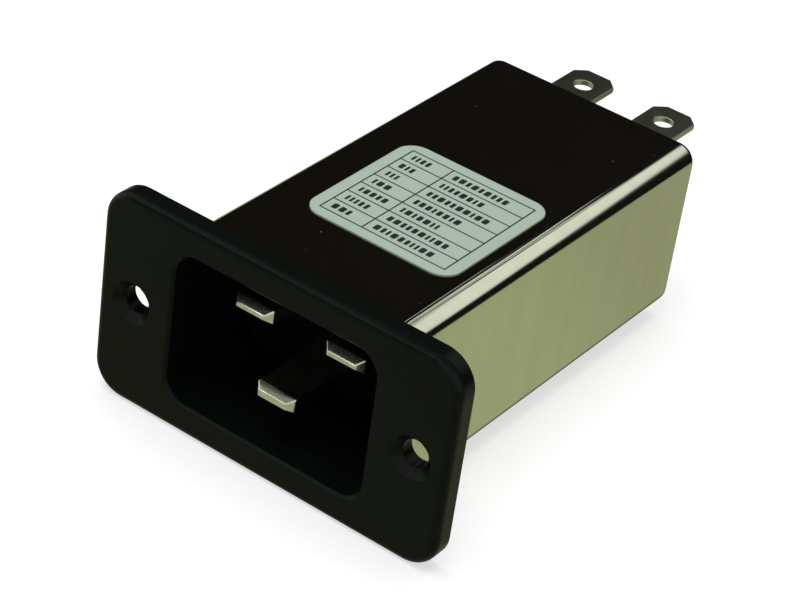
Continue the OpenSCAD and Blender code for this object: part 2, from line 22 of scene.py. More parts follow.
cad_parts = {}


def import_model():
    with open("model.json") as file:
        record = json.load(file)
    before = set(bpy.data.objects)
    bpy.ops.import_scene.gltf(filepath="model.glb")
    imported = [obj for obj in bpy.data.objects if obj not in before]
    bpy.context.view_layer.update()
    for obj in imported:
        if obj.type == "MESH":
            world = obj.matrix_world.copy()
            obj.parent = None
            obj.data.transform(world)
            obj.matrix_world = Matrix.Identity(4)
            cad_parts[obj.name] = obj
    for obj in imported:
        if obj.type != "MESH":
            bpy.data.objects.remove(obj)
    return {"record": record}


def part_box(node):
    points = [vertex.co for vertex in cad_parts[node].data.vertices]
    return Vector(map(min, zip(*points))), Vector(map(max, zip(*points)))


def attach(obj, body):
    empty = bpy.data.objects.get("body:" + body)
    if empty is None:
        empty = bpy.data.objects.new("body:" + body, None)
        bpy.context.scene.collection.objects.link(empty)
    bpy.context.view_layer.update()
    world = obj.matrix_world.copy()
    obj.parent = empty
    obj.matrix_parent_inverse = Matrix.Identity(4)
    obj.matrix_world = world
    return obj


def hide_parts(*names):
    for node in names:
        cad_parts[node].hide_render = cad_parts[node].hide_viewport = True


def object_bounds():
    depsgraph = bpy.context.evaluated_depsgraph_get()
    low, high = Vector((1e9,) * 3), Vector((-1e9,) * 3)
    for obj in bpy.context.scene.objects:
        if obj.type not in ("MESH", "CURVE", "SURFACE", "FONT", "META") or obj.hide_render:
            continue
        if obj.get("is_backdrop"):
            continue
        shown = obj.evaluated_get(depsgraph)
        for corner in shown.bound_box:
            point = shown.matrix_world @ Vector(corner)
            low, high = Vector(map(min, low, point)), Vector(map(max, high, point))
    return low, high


MM = 0.001
NOISE_BAND = (0.3, 0.7)
BEVEL_SAMPLES = 4
PRINT_SEED = 11
FOLD_FADE_START = 0.012
FOLD_STRETCH = (1.0, 0.005, 0.0)

Colour = tuple[float, float, float]
Value = float | int | Colour | tuple[float, ...] | bpy.types.NodeSocket
Loop = list[tuple[float, float]]

log = logging.getLogger("entry_filter")


class Slot(Enum):
    """Finishes of the part, by the record's slot names; the ink lies on the label."""

    HOUSING = "housing_black"
    PLATE = "plate_black"
    BLADE = "blade_nickel"
    CAN = "can_plate"
    TAB = "tab_tin"
    RIVET = "rivet_nickel"
    LUG = "lug_tin"
    SOLDER = "solder"
    WIRE = "enamelled_copper"
    LABEL = "label_film"
    INK = "label_ink"
    LINER = "liner_film"
    BOARD = "board_laminate"
    X_CAPACITOR = "x_capacitor_case"
    Y_CAPACITOR = "y_capacitor_case"
    RESISTOR = "resistor_coating"
    CORE = "core_coating"
    DIVIDER = "divider_plastic"


class Heading(Enum):
    """Way in which a strip runs from its tip to its bend, along Y."""

    REARWARD = 1
    FORWARD = -1


# ---- shader trees --------------------------------------------------------------


class Graph:
    """Places and joins the nodes of one shader tree."""

    def __init__(self, tree: bpy.types.NodeTree) -> None:
        """Starts the tree empty.

        Args:
            tree: The material, world or group tree to fill.
        """
        self.tree = tree
        tree.nodes.clear()

    def add(self, kind: str, values: dict[str | int, Value] | None = None, **settings: object) -> bpy.types.Node:
        """Places a node, sets its options and fills its inputs.

        Args:
            kind: The node's type name.
            values: Input name or number to a constant or another node's output.
            **settings: Options of the node itself.

        Returns:
            The new node.
        """
        node = self.tree.nodes.new(kind)
        for option, choice in settings.items():
            setattr(node, option, choice)
        for key, value in (values or {}).items():
            if isinstance(value, bpy.types.NodeSocket):
                self.tree.links.new(value, node.inputs[key])
            elif isinstance(value, tuple) and node.inputs[key].type == "RGBA":
                node.inputs[key].default_value = (*value, 1.0)
            else:
                node.inputs[key].default_value = value
        return node

    def math(self, operation: str, a: Value, b: Value = 0.0, clamp: bool = False) -> bpy.types.NodeSocket:
        """Joins two values with one arithmetic step.

        Args:
            operation: The step, in the Math node's own words.
            a: First value.
            b: Second value.
            clamp: Keeps the result between 0 and 1.

        Returns:
            The result's socket.
        """
        return self.add("ShaderNodeMath", {0: a, 1: b}, operation=operation, use_clamp=clamp).outputs[0]

    def spread(
        self, value: Value, low: Value, high: Value, to_low: Value = 0.0, to_high: Value = 1.0
    ) -> bpy.types.NodeSocket:
        """Maps a value smoothly from one range to another.

        Args:
            value: What is mapped.
            low: Where the old range starts.
            high: Where the old range ends.
            to_low: Where the new range starts.
            to_high: Where the new range ends.

        Returns:
            The mapped value's socket.
        """
        values = {"Value": value, "From Min": low, "From Max": high, "To Min": to_low, "To Max": to_high}
        return self.add("ShaderNodeMapRange", values, interpolation_type="SMOOTHSTEP").outputs[0]

    def blend(self, factor: Value, first: Value, second: Value) -> bpy.types.NodeSocket:
        """Mixes two colours.

        Args:
            factor: Share of the second colour.
            first: Colour at factor 0.
            second: Colour at factor 1.

        Returns:
            The mixed colour's socket.
        """
        node = self.add("ShaderNodeMix", {0: factor, 6: first, 7: second}, data_type="RGBA")
        return node.outputs[2]

    def place(self, stretch: Value = (1.0, 1.0, 1.0)) -> bpy.types.NodeSocket:
        """Gives the place on the part, drawn out along the axes.

        Args:
            stretch: Factor on each axis; a small one draws a pattern out.

        Returns:
            The place's socket.
        """
        spot = self.add("ShaderNodeTexCoord").outputs["Object"]
        return self.add("ShaderNodeVectorMath", {0: spot, 1: stretch}, operation="MULTIPLY").outputs[0]

    def noise(self, place: Value, scale: Value, detail: Value = 3.0, distortion: float = 0.0) -> bpy.types.NodeSocket:
        """Gives noise from 0 to 1.

        Args:
            place: Where it is read.
            scale: How fine it is, per metre.
            detail: How many finer layers it has.
            distortion: How much it is swirled.

        Returns:
            The noise's socket.
        """
        values = {"Vector": place, "Scale": scale, "Detail": detail, "Distortion": distortion}
        return self.add("ShaderNodeTexNoise", values).outputs["Fac"]


class Effect:
    """A shader node group that several finishes share."""

    def __init__(self, name: str, inputs: dict[str, float | Colour], output: str, kind: str = "Float") -> None:
        """Makes the empty group with its sockets.

        Args:
            name: The group's name.
            inputs: Input names and their usual values; three numbers make a vector.
            output: Name of what the group puts out.
            kind: Sort of socket that it comes out of, Float or Vector.
        """
        self.tree = bpy.data.node_groups.new(name, "ShaderNodeTree")
        self.graph = Graph(self.tree)
        self.output = output
        for title, usual in inputs.items():
            sort = "NodeSocketVector" if isinstance(usual, tuple) else "NodeSocketFloat"
            self.tree.interface.new_socket(title, in_out="INPUT", socket_type=sort).default_value = usual
        self.tree.interface.new_socket(output, in_out="OUTPUT", socket_type=f"NodeSocket{kind}")
        self.given = self.graph.add("NodeGroupInput").outputs

    def close(self, result: bpy.types.NodeSocket) -> "Effect":
        """Joins the result to the group's output.

        Args:
            result: The socket that feeds it.

        Returns:
            This effect, ready to place.
        """
        self.graph.add("NodeGroupOutput", {self.output: result})
        return self

    def put(self, graph: Graph, **values: Value) -> bpy.types.NodeSocket:
        """Places the group in a material.

        Args:
            graph: The material's graph.
            **values: Input name to a value.

        Returns:
            The group's output.
        """
        return graph.add("ShaderNodeGroup", dict(values), node_tree=self.tree).outputs[self.output]


def make_grain() -> Effect:
    """Fine grain: noise at one scale that can be drawn out along an axis.

    Returns:
        The effect, which puts out a Value from 0 to 1.
    """
    effect = Effect("fine grain", {"Scale": 2000.0, "Stretch": (1.0, 1.0, 1.0), "Detail": 3.0}, "Value")
    place = effect.graph.place(effect.given["Stretch"])
    return effect.close(effect.graph.noise(place, effect.given["Scale"], effect.given["Detail"]))


def make_smudges() -> Effect:
    """Soft patches such as finger marks and uneven plating.

    Returns:
        The effect, which puts out a Mask from 0 to 1.
    """
    effect = Effect("smudges", {"Scale": 60.0, "Cover": 0.5}, "Mask")
    graph = effect.graph
    noise = graph.noise(graph.place(), effect.given["Scale"], 5.0, 0.6)
    edge = graph.math("SUBTRACT", 1.0, effect.given["Cover"])
    above = graph.math("SUBTRACT", noise, graph.math("MULTIPLY", edge, 0.9))
    return effect.close(graph.math("MULTIPLY", above, 3.0, clamp=True))


def make_dust() -> Effect:
    """Tiny specks that lie on what faces up.

    Returns:
        The effect, which puts out a Mask from 0 to 1.
    """
    effect = Effect("dust specks", {"Scale": 1100.0, "Amount": 0.2, "Reach": 0.12}, "Mask")
    graph = effect.graph
    cells = graph.add("ShaderNodeTexVoronoi", {"Vector": graph.place(), "Scale": effect.given["Scale"]})
    pick = graph.add("ShaderNodeSeparateColor", {0: cells.outputs["Color"]})
    kept = graph.math("LESS_THAN", pick.outputs[0], effect.given["Amount"])
    reach = graph.math("MULTIPLY", pick.outputs[1], effect.given["Reach"])
    speck = graph.spread(cells.outputs["Distance"], graph.math("MULTIPLY", reach, 0.5), reach, 1.0, 0.0)
    facing = graph.add("ShaderNodeSeparateXYZ", {0: graph.add("ShaderNodeNewGeometry").outputs["Normal"]})
    upward = graph.spread(facing.outputs[2], 0.3, 0.8)
    return effect.close(graph.math("MULTIPLY", graph.math("MULTIPLY", kept, speck), upward))


def make_edge_wear() -> Effect:
    """Worn edges, found by comparing the true normal with a rounded one.

    Returns:
        The effect, which puts out a Mask from 0 to 1.
    """
    effect = Effect("edge wear", {"Width": 0.0003, "Breakup": 1500.0}, "Mask")
    graph = effect.graph
    rounded = graph.add("ShaderNodeBevel", {"Radius": effect.given["Width"]}, samples=BEVEL_SAMPLES).outputs[0]
    true = graph.add("ShaderNodeNewGeometry").outputs["Normal"]
    alike = graph.add("ShaderNodeVectorMath", {0: rounded, 1: true}, operation="DOT_PRODUCT").outputs["Value"]
    edge = graph.spread(graph.math("SUBTRACT", 1.0, alike), 0.01, 0.2)
    broken = graph.spread(graph.noise(graph.place(), effect.given["Breakup"], 4.0), 0.35, 0.62)
    return effect.close(graph.math("MULTIPLY", edge, broken))


def make_soft_edges() -> Effect:
    """Small radius on every sharp edge, as a mould or a die leaves it.

    Returns:
        The effect, which puts out a Normal.
    """
    effect = Effect("soft edges", {"Radius": 0.0002}, "Normal", "Vector")
    rounded = effect.graph.add("ShaderNodeBevel", {"Radius": effect.given["Radius"]}, samples=BEVEL_SAMPLES)
    return effect.close(rounded.outputs[0])


def make_fold_lines() -> Effect:
    """Fine lines that the die leaves beside one long bend of a drawn can.

    Returns:
        The effect, which puts out a Height from 0 to 1.
    """
    effect = Effect("fold lines", {"Half": 0.013, "Band": 0.0013, "Scale": 3600.0, "Fade": 0.055}, "Height")
    graph = effect.graph
    place = graph.add("ShaderNodeSeparateXYZ", {0: graph.place()}).outputs
    inward = graph.math("SUBTRACT", effect.given["Half"], place[0])
    near = graph.spread(graph.math("ABSOLUTE", inward), 0.0, effect.given["Band"], 1.0, 0.0)
    near = graph.math("MULTIPLY", near, graph.spread(place[1], FOLD_FADE_START, effect.given["Fade"], 1.0, 0.0))
    lines = graph.noise(graph.place(FOLD_STRETCH), effect.given["Scale"], 1.0)
    return effect.close(graph.math("MULTIPLY", near, lines))


@dataclass(frozen=True)
class Effects:
    """The shared effects, each built once."""

    grain: Effect
    smudges: Effect
    dust: Effect
    edge_wear: Effect
    soft_edges: Effect
    fold_lines: Effect

    @classmethod
    def make(cls) -> "Effects":
        """Builds every shared effect."""
        return cls(make_grain(), make_smudges(), make_dust(), make_edge_wear(), make_soft_edges(), make_fold_lines())


# ---- finishes ------------------------------------------------------------------


def start_material(name: str) -> tuple[bpy.types.Material, Graph]:
    """Makes an empty node material.

    Args:
        name: The material's name.

    Returns:
        The material and the graph of its tree.
    """
    material = bpy.data.materials.new(name)
    material.use_nodes = True
    return material, Graph(material.node_tree)


@dataclass(frozen=True)
class Moulding:
    """Moulded plastic, coating or film: grained, softly mottled, dusty on top, pale at its edges."""

    deep: Colour
    light: Colour
    dust: Colour = (0.10, 0.105, 0.09)
    roughness: float = 0.5
    gloss: float = 0.5
    coat: float = 0.0
    grain_scale: float = 6000.0
    grain_height: float = 4e-6
    edge_radius: float = 0.0002
    dust_amount: float = 0.06
    wear: float = 0.3
    coat_roughness: float = 0.08
    rough_swing: float = 0.05
    mottle_scale: float = 90.0
    mottle_share: float = 0.5

    def build(self, name: str, effects: Effects) -> bpy.types.Material:
        """Makes the material.

        Args:
            name: The material's name.
            effects: The shared effects.

        Returns:
            The finished material.
        """
        material, graph = start_material(name)
        grain = effects.grain.put(graph, Scale=self.grain_scale)
        mottle = effects.smudges.put(graph, Scale=self.mottle_scale, Cover=0.5)
        specks = effects.dust.put(graph, Amount=self.dust_amount)
        worn = graph.math("MULTIPLY", effects.edge_wear.put(graph), self.wear)
        tone = graph.blend(graph.math("MULTIPLY", mottle, self.mottle_share), self.deep, self.light)
        tone = graph.blend(worn, tone, self.light)
        tone = graph.blend(specks, tone, self.dust)
        rough = graph.spread(grain, *NOISE_BAND, self.roughness - self.rough_swing, self.roughness + self.rough_swing)
        edges = effects.soft_edges.put(graph, Radius=self.edge_radius)
        relief = {"Strength": 1.0, "Distance": self.grain_height, "Height": grain, "Normal": edges}
        bump = graph.add("ShaderNodeBump", relief)
        shader = graph.add(
            "ShaderNodeBsdfPrincipled",
            {
                "Base Color": tone,
                "Roughness": rough,
                "Specular IOR Level": self.gloss,
                "Coat Weight": self.coat,
                "Coat Roughness": self.coat_roughness,
                "Normal": bump.outputs[0],
            },
        )
        graph.add("ShaderNodeOutputMaterial", {"Surface": shader.outputs[0]})
        return material


@dataclass(frozen=True)
class Plating:
    """Bright plated sheet, strip or wire: faint drawn streaks, uneven lustre, soft waves, dust on top."""

    deep: Colour
    light: Colour
    dust: Colour = (0.16, 0.16, 0.13)
    roughness: float = 0.14
    stretch: Colour = (1.0, 0.10, 1.0)
    streak_scale: float = 900.0
    streak_height: float = 3e-7
    wave_scale: float = 70.0
    wave_height: float = 0.0
    fold_half: float = 0.0
    fold_height: float = 2.2e-4
    edge_radius: float = 0.0001
    dust_amount: float = 0.05
    wear: float = 0.2
    wear_width: float = 0.0002
    mark_scale: float = 110.0
    mark_cover: float = 0.42
    mark_share: float = 0.35
    mark_rough: float = 0.04
    dust_rough: float = 0.5

    def build(self, name: str, effects: Effects) -> bpy.types.Material:
        """Makes the material.

        Args:
            name: The material's name.
            effects: The shared effects.

        Returns:
            The finished material.
        """
        material, graph = start_material(name)
        streaks = effects.grain.put(graph, Scale=self.streak_scale, Stretch=self.stretch)
        marks = effects.smudges.put(graph, Scale=self.mark_scale, Cover=self.mark_cover)
        specks = effects.dust.put(graph, Amount=self.dust_amount)
        worn = graph.math("MULTIPLY", effects.edge_wear.put(graph, Width=self.wear_width), self.wear)
        tone = graph.blend(graph.spread(streaks, *NOISE_BAND), self.light, self.deep)
        tone = graph.blend(graph.math("MULTIPLY", marks, self.mark_share), tone, self.deep)
        tone = graph.blend(worn, tone, self.light)
        tone = graph.blend(specks, tone, self.dust)
        rough = graph.math("ADD", graph.math("MULTIPLY", marks, self.mark_rough), self.roughness)
        rough = graph.math("ADD", rough, graph.math("MULTIPLY", specks, self.dust_rough))
        shader = graph.add(
            "ShaderNodeBsdfPrincipled",
            {
                "Base Color": tone,
                "Metallic": graph.math("SUBTRACT", 1.0, specks),
                "Roughness": rough,
                "Normal": self.relief(graph, effects, streaks),
            },
        )
        graph.add("ShaderNodeOutputMaterial", {"Surface": shader.outputs[0]})
        return material

    def relief(self, graph: Graph, effects: Effects, streaks: bpy.types.NodeSocket) -> bpy.types.NodeSocket:
        """Joins soft edges, slow waves, fold lines and streaks into one normal.

        Args:
            graph: The material's graph.
            effects: The shared effects.
            streaks: Height of the drawn streaks.

        Returns:
            The normal's socket.
        """
        normal = effects.soft_edges.put(graph, Radius=self.edge_radius)
        layers = [(streaks, self.streak_height)]
        if self.wave_height > 0.0:
            layers.append((effects.grain.put(graph, Scale=self.wave_scale, Detail=1.0), self.wave_height))
        if self.fold_half > 0.0:
            layers.append((effects.fold_lines.put(graph, Half=self.fold_half), self.fold_height))
        for height, distance in layers:
            values = {"Strength": 1.0, "Distance": distance, "Height": height, "Normal": normal}
            normal = graph.add("ShaderNodeBump", values).outputs[0]
        return normal


def finish_list() -> dict[Slot, Moulding | Plating]:
    """Lists the finish of every slot.

    Returns:
        Each slot and its finish.
    """
    return {
        Slot.HOUSING: Moulding((0.0032, 0.0054, 0.0039), (0.0058, 0.0086, 0.0065), roughness=0.30, gloss=0.10),
        Slot.PLATE: Moulding((0.006, 0.007, 0.006), (0.014, 0.015, 0.013), roughness=0.5, gloss=0.30),
        Slot.LABEL: Moulding(
            (0.395, 0.485, 0.41), (0.425, 0.515, 0.44), roughness=0.55, gloss=0.2, wear=0.05, dust_amount=0.02
        ),
        Slot.INK: Moulding(
            (0.018, 0.025, 0.021), (0.035, 0.045, 0.040), roughness=0.5, gloss=0.2, edge_radius=0.00001
        ),
        Slot.LINER: Moulding((0.52, 0.45, 0.28), (0.62, 0.55, 0.38), roughness=0.7, gloss=0.2),
        Slot.BOARD: Moulding((0.020, 0.085, 0.030), (0.035, 0.13, 0.05), roughness=0.35, coat=0.4),
        Slot.X_CAPACITOR: Moulding((0.50, 0.31, 0.02), (0.62, 0.42, 0.06), roughness=0.35),
        Slot.Y_CAPACITOR: Moulding((0.015, 0.055, 0.21), (0.03, 0.09, 0.30), roughness=0.35),
        Slot.RESISTOR: Moulding((0.38, 0.22, 0.10), (0.50, 0.32, 0.18), roughness=0.45),
        Slot.CORE: Moulding((0.025, 0.09, 0.045), (0.05, 0.14, 0.08), roughness=0.5, coat=0.2),
        Slot.DIVIDER: Moulding((0.60, 0.60, 0.52), (0.72, 0.72, 0.66), roughness=0.5),
        Slot.CAN: Plating(
            (0.635, 0.668, 0.515),
            (0.668, 0.700, 0.545),
            roughness=0.13,
            stretch=(1.0, 1.0, 0.10),
            streak_scale=420.0,
            streak_height=2e-7,
            wave_scale=45.0,
            wave_height=1.2e-5,
            fold_half=0.01325,
        ),
        Slot.BLADE: Plating((0.63, 0.64, 0.54), (0.77, 0.78, 0.67), roughness=0.21),
        Slot.TAB: Plating((0.50, 0.56, 0.43), (0.60, 0.67, 0.52), roughness=0.36),
        Slot.RIVET: Plating((0.50, 0.50, 0.42), (0.62, 0.62, 0.55), roughness=0.25),
        Slot.LUG: Plating((0.42, 0.43, 0.36), (0.55, 0.56, 0.48), roughness=0.3),
        Slot.SOLDER: Plating((0.52, 0.53, 0.53), (0.68, 0.69, 0.70), roughness=0.22),
        Slot.WIRE: Plating((0.36, 0.10, 0.03), (0.55, 0.19, 0.06), roughness=0.25),
    }


class Shelf:
    """Every finish, built once and handed out by slot."""

    def __init__(self, effects: Effects, record: dict) -> None:
        """Builds the finishes.

        Args:
            effects: The shared effects.
            record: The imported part's record.
        """
        self.materials = {slot: finish.build(slot.value, effects) for slot, finish in finish_list().items()}
        self.slots = {row["node"]: Slot(row["material_slot"]) for row in record["subparts"]}

    def coat(self, piece: bpy.types.Object, slot: Slot) -> None:
        """Gives a piece one finish.

        Args:
            piece: The piece.
            slot: Its finish.
        """
        piece.data.materials.clear()
        piece.data.materials.append(self.materials[slot])
        log.info("%s is dressed in %s", piece.name, slot.value)


# ---- pieces made here ----------------------------------------------------------


def link_mesh(name: str, mesh: bmesh.types.BMesh) -> bpy.types.Object:
    """Puts a mesh in the scene as an object.

    Args:
        name: The object's name.
        mesh: The mesh, in metres, which is freed.

    Returns:
        The object.
    """
    data = bpy.data.meshes.new(name)
    mesh.to_mesh(data)
    mesh.free()
    piece = bpy.data.objects.new(name, data)
    bpy.context.scene.collection.objects.link(piece)
    return piece


@dataclass(frozen=True)
class Strip:
    """Metal strip cut from sheet, with rolled edges, a coined tip and one bend down."""

    outline: Loop
    holes: list[tuple[float, float, float]]
    thickness: float
    roll: float
    run: float
    bend: float
    tip: tuple[float, float, float]
    heading: Heading
    coin_len: float = 0.0
    coin_drop: float = 0.0
    coin_power: float = 1.1
    coin_steps: int = 6
    bend_steps: int = 8
    hole_steps: int = 48
    roll_steps: int = 3
    sharp_deg: float = 50.0
    merge: float = 1e-4

    def build(self, name: str) -> bpy.types.Object:
        """Makes the strip.

        Args:
            name: The piece's name.

        Returns:
            The piece.
        """
        mesh = self.flat()
        arc = self.bend * math.pi / 2
        coined = range(1, self.coin_steps + 1) if self.coin_len > 0.0 else ()
        cuts = [self.coin_len * step / self.coin_steps for step in coined]
        cuts += [self.run + arc * step / self.bend_steps for step in range(self.bend_steps + 1)]
        for cut in cuts:
            everything = mesh.verts[:] + mesh.edges[:] + mesh.faces[:]
            bmesh.ops.bisect_plane(mesh, geom=everything, plane_co=(0.0, cut, 0.0), plane_no=(0.0, 1.0, 0.0))
        for vert in mesh.verts:
            vert.co = self.set_in_place(*vert.co)
        bmesh.ops.recalc_face_normals(mesh, faces=mesh.faces[:])
        piece = link_mesh(name, mesh)
        piece.data.shade_smooth()
        piece.data.set_sharp_from_angle(angle=math.radians(self.sharp_deg))
        crisp = piece.modifiers.new("crisp_flats", "WEIGHTED_NORMAL")
        crisp.keep_sharp = True
        return piece

    def flat(self) -> bmesh.types.BMesh:
        """Cuts the strip's outline from sheet, with rolled edges.

        Returns:
            The flat strip: across on X, along on Y, thickness on Z, in millimetres.
        """
        curve = bpy.data.curves.new("sheet", "CURVE")
        curve.dimensions = "2D"
        curve.fill_mode = "BOTH"
        curve.extrude = self.thickness / 2 - self.roll
        curve.bevel_depth = self.roll
        curve.bevel_resolution = self.roll_steps
        curve.offset = -self.roll
        rims = [self.outline]
        for across, along, radius in self.holes:
            steps = [math.tau * step / self.hole_steps for step in range(self.hole_steps)]
            rims.append([(across + radius * math.cos(a), along + radius * math.sin(a)) for a in steps])
        for rim in rims:
            spline = curve.splines.new("POLY")
            spline.points.add(len(rim) - 1)
            for point, (x, y) in zip(spline.points, rim):
                point.co = (x, y, 0.0, 1.0)
            spline.use_cyclic_u = True
        sheet = bpy.data.objects.new("sheet", curve)
        bpy.context.scene.collection.objects.link(sheet)
        solid = sheet.evaluated_get(bpy.context.evaluated_depsgraph_get())
        mesh = bmesh.new()
        mesh.from_mesh(solid.to_mesh())
        bpy.data.objects.remove(sheet)
        bmesh.ops.remove_doubles(mesh, verts=mesh.verts[:], dist=self.merge)
        return mesh

    def set_in_place(self, across: float, along: float, out: float) -> Vector:
        """Moves a point of the flat strip to its place on the bent one.

        Args:
            across: Place across the strip.
            along: Distance from the tip.
            out: Height above the strip's middle.

        Returns:
            The point, in metres.
        """
        if along < self.coin_len:
            half = self.thickness / 2
            out *= (half - self.coin_drop * (1.0 - along / self.coin_len) ** self.coin_power) / half
        turn = min(max(along - self.run, 0.0) / self.bend, math.pi / 2)
        past = max(along - self.run - self.bend * math.pi / 2, 0.0)
        reach = min(along, self.run) + (self.bend + out) * math.sin(turn)
        drop = self.bend - (self.bend + out) * math.cos(turn) + past
        x, y, z = self.tip
        return Vector((x + across, y + self.heading.value * reach, z - drop)) * MM


# ---- sub-assemblies ------------------------------------------------------------


@dataclass
class Assembly:
    """Pieces of the part that belong together: CAD nodes, and pieces made here."""

    nodes: tuple[str, ...] = ()

    def build(self) -> list[tuple[bpy.types.Object, Slot]]:
        """Makes the assembly's own pieces; a plain assembly has none."""
        return []

    def dress(self, shelf: Shelf, made: list[tuple[bpy.types.Object, Slot]]) -> None:
        """Gives each CAD node and each made piece its finish.

        Args:
            shelf: The finishes.
            made: The assembly's own pieces and their slots.
        """
        for node in self.nodes:
            shelf.coat(bpy.data.objects[node], shelf.slots[node])
        for piece, slot in made:
            shelf.coat(piece, slot)


@dataclass
class InletEnd(Assembly):
    """Flange with the connector's cavity, and its three coined blades."""

    nodes: tuple[str, ...] = ("inlet_housing",)
    blade_t: float = 2.0
    roll: float = 0.15
    side_bevel: float = 0.8
    bevel_len: float = 0.9
    live_coin: tuple[float, float] = (1.05, 0.74)
    earth_coin: tuple[float, float] = (1.10, 0.58)
    floor_back: float = 15.5
    tail_w: float = 3.0
    bend_gap: float = 0.3

    def build(self) -> list[tuple[bpy.types.Object, Slot]]:
        """Makes the three blades.

        Returns:
            Each blade and its slot.
        """
        return [(self.build_blade(node), Slot.BLADE) for node in ("line_blade", "neutral_blade", "earth_blade")]

    def build_blade(self, node: str) -> bpy.types.Object:
        """Makes one blade with its tail.

        Args:
            node: CAD node that the blade stands for.

        Returns:
            The blade.
        """
        low, high = (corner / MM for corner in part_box(node))
        half = (high.x - low.x) / 2
        middle = self.bend_gap + self.blade_t / 2
        run = high.y - low.y - middle - self.blade_t / 2
        end = run + middle * math.pi / 2 + high.z - self.blade_t / 2 - middle - low.z
        floor, tail = self.floor_back - low.y, self.tail_w / 2
        right = [(half - self.side_bevel, 0.0), (half, self.bevel_len), (half, floor), (tail, floor), (tail, end)]
        coin_len, coin_drop = self.earth_coin if node == "earth_blade" else self.live_coin
        blade = Strip(
            outline=right + [(-x, y) for x, y in reversed(right)],
            holes=[],
            thickness=self.blade_t,
            roll=self.roll,
            run=run,
            bend=middle,
            tip=((low.x + high.x) / 2, low.y, high.z - self.blade_t / 2),
            heading=Heading.REARWARD,
            coin_len=coin_len,
            coin_drop=coin_drop,
        ).build(f"coined_{node}")
        return claim(blade, node)


def claim(piece: bpy.types.Object, node: str) -> bpy.types.Object:
    """Makes a piece stand for a CAD node and ride with the part.

    Args:
        piece: The piece.
        node: The CAD node.

    Returns:
        The piece.
    """
    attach(piece, "root")
    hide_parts(node)
    return piece


@dataclass
class CanAndLabel(Assembly):
    """Drawn can with its sleeve, and the label with a plain ruled table."""

    nodes: tuple[str, ...] = ("can", "insulating_liner", "rating_label")
    ink_t: float = 0.012
    margin: float = 1.6
    rows: int = 7
    block_h: float = 1.1
    indent: float = 0.9
    first_column: float = 0.34
    cell_fill: tuple[float, float] = (0.5, 1.0)
    block_widths: tuple[float, ...] = (0.34, 0.48, 0.62, 0.74)
    block_gap: float = 0.3
    rule_w: float = 0.18
    clipped: float = 0.16

    def build(self) -> list[tuple[bpy.types.Object, Slot]]:
        """Prints the label with a plain ruled table, its cells filled with bars.

        Returns:
            The print and its slot.
        """
        low, high = (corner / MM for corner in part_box("rating_label"))
        edge = Vector((self.margin, self.margin, 0.0))
        low, high = low + edge, high - edge
        split = low.x + (high.x - low.x) * self.first_column
        pitch = (high.y - low.y) / self.rows
        mesh = bmesh.new()
        chance = random.Random(PRINT_SEED)
        for row in range(self.rows):
            for left, right in ((low.x, split), (split, high.x)):
                start = left + self.indent
                stop = start + (right - self.indent - start) * chance.uniform(*self.cell_fill)
                self.print_bars(mesh, chance, (start, stop), low.y + (row + 0.5) * pitch, high.z)
        across, along = (low.x + high.x) / 2, (low.y + high.y) / 2
        for row in range(self.rows + 1):
            length = high.x - low.x + self.rule_w
            self.print_block(mesh, across, low.y + row * pitch, length, self.rule_w, high.z)
        for x in (low.x, split, high.x):
            self.print_block(mesh, x, along, self.rule_w, high.y - low.y, high.z)
        piece = link_mesh("label_print", mesh)
        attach(piece, "root")
        return [(piece, Slot.INK)]

    def print_bars(
        self, mesh: bmesh.types.BMesh, chance: random.Random, span: tuple[float, float], y: float, z: float
    ) -> None:
        """Prints a row of upright bars of several widths.

        Args:
            mesh: The print's mesh.
            chance: Source of the differences between bars.
            span: Where the row starts and what it stays short of.
            y: Middle of the row.
            z: Top of the label.
        """
        x, stop = span
        wide = chance.choice(self.block_widths)
        while x + wide <= stop:
            self.print_block(mesh, x + wide / 2, y, wide, self.block_h, z)
            x += wide + self.block_gap
            wide = chance.choice(self.block_widths)

    def print_block(self, mesh: bmesh.types.BMesh, x: float, y: float, w: float, h: float, z: float) -> None:
        """Prints one block with clipped corners.

        Args:
            mesh: The print's mesh.
            x: Middle of the block.
            y: Middle of the block.
            w: Width.
            h: Height.
            z: Top of the label.
        """
        clip = min(w, h) * self.clipped
        rim = [(w / 2, h / 2 - clip), (w / 2 - clip, h / 2), (clip - w / 2, h / 2), (-w / 2, h / 2 - clip)]
        rim += [(-a, -b) for a, b in rim]
        tops = [mesh.verts.new(Vector((x + a, y + b, z + self.ink_t)) * MM) for a, b in rim]
        feet = [mesh.verts.new(Vector((x + a, y + b, z)) * MM) for a, b in rim]
        mesh.faces.new(tops)
        for near, far in zip(range(8), [*range(1, 8), 0]):
            mesh.faces.new((feet[near], feet[far], tops[far], tops[near]))


